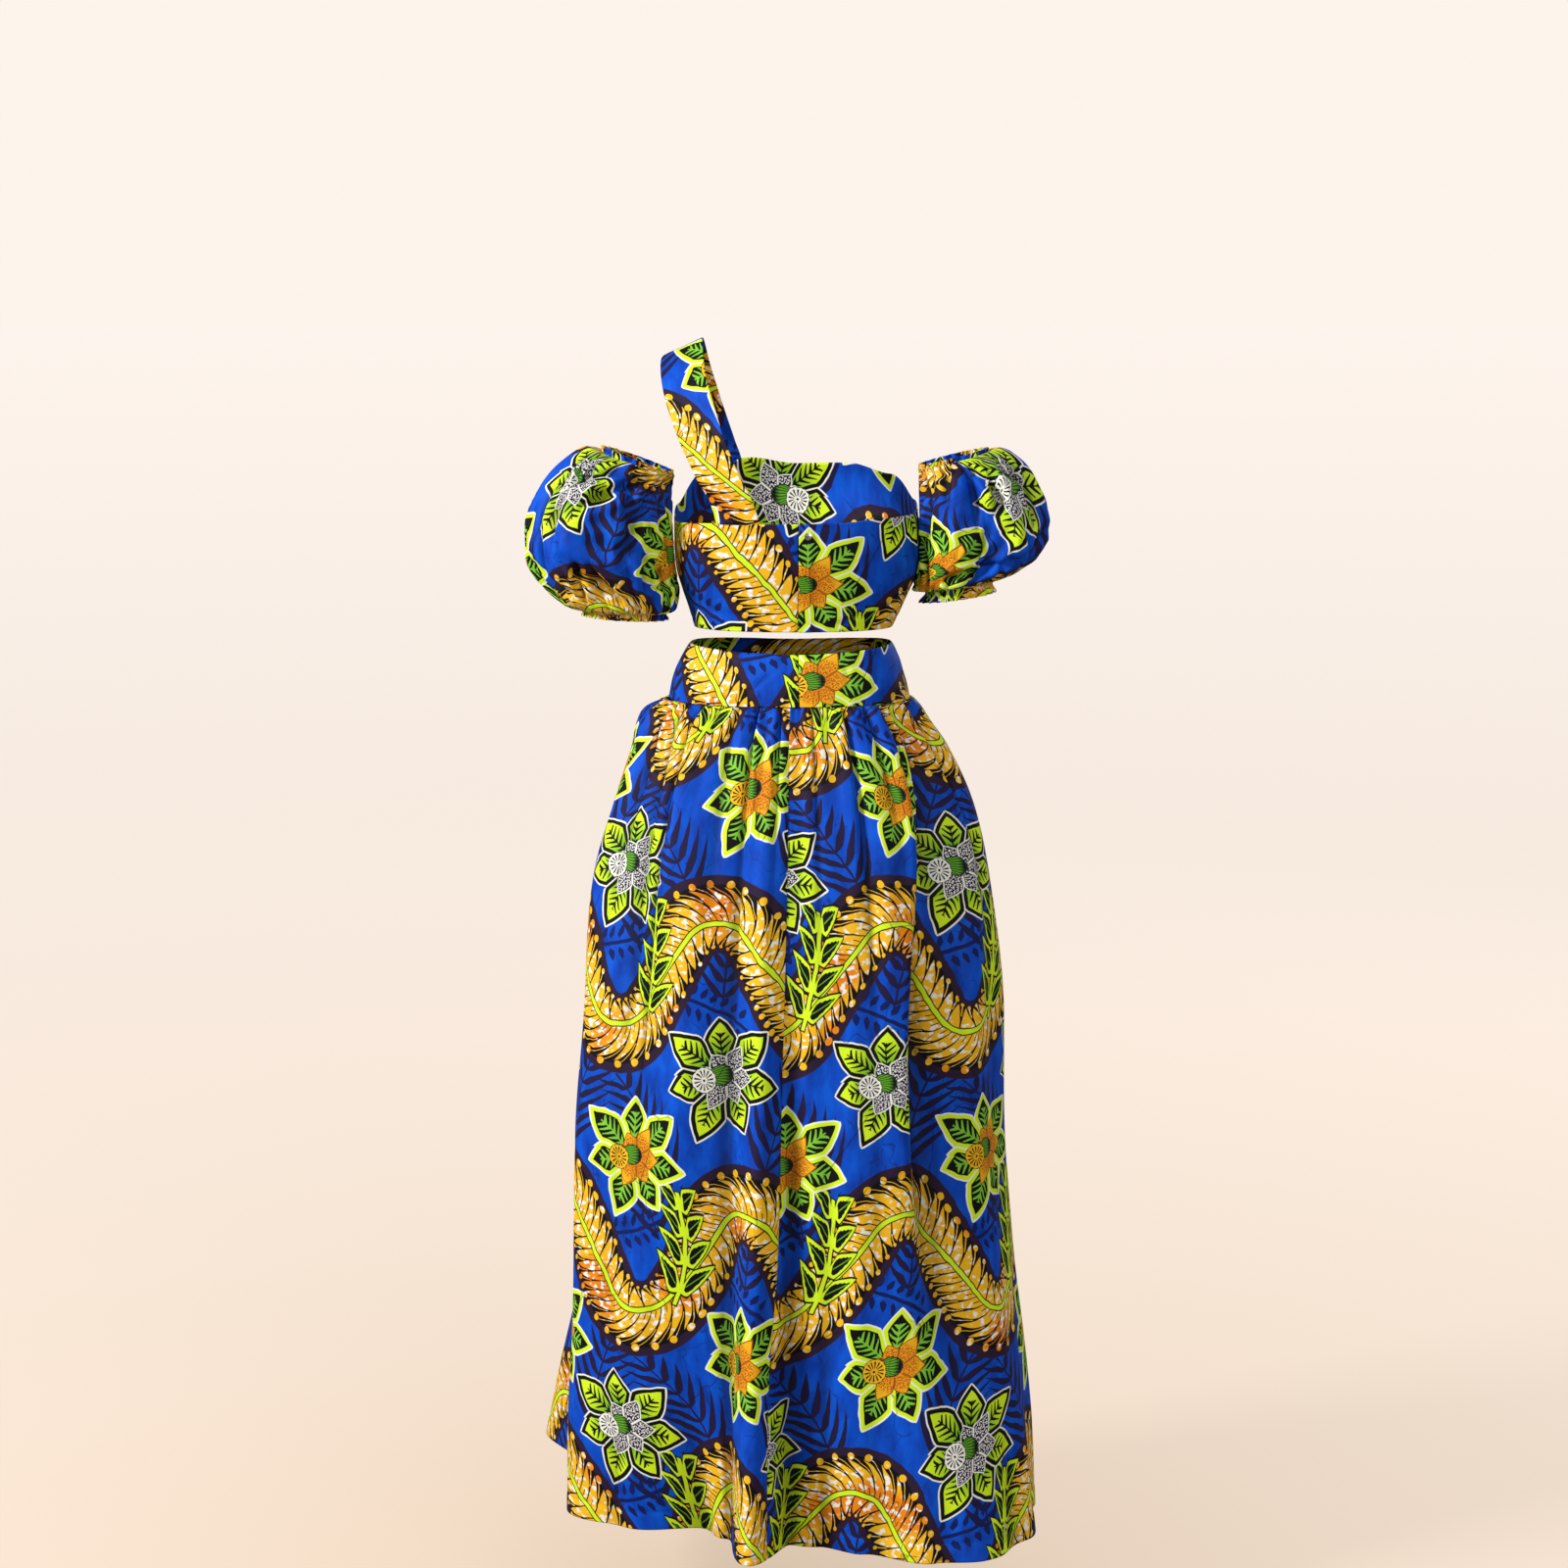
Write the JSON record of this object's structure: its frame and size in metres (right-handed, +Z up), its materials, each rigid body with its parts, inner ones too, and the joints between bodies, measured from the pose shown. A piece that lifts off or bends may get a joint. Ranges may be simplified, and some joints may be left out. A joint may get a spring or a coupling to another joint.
{
  "type": "two-piece one-shoulder dress",
  "caption": "Two-piece one-shoulder dress in wax-print cotton: cropped bodice on one strap, elasticated puff sleeves, and a long skirt gathered onto a shaped waistband.",
  "frame": {"origin": "underside of the shoulder strap at its highest point, where the wearer's left shoulder carries it", "axes": "+Z up, +X to the wearer's left, +Y to the wearer's back: the garment's front faces -Y"},
  "size_m": [0.5791, 0.4753, 1.3234],
  "materials": {
    "print_cotton": "crisp plain-woven cotton with a wax print: royal blue ground, golden plumes, lime leaves and flowers, navy fronds",
    "snap_metal": "polished nickel"
  },
  "bodies": {
    "root": {"bodice_back_left": "print_cotton", "bodice_back_right": "print_cotton", "bodice_front": "print_cotton", "shoulder_strap": "print_cotton", "back_snap": "snap_metal", "sleeve_left": "print_cotton", "sleeve_right": "print_cotton", "waistband_back_left": "print_cotton", "waistband_back_right": "print_cotton", "waistband_front": "print_cotton", "skirt_back_left": "print_cotton", "skirt_back_right": "print_cotton", "skirt_front": "print_cotton"}
  },
  "joints": []
}
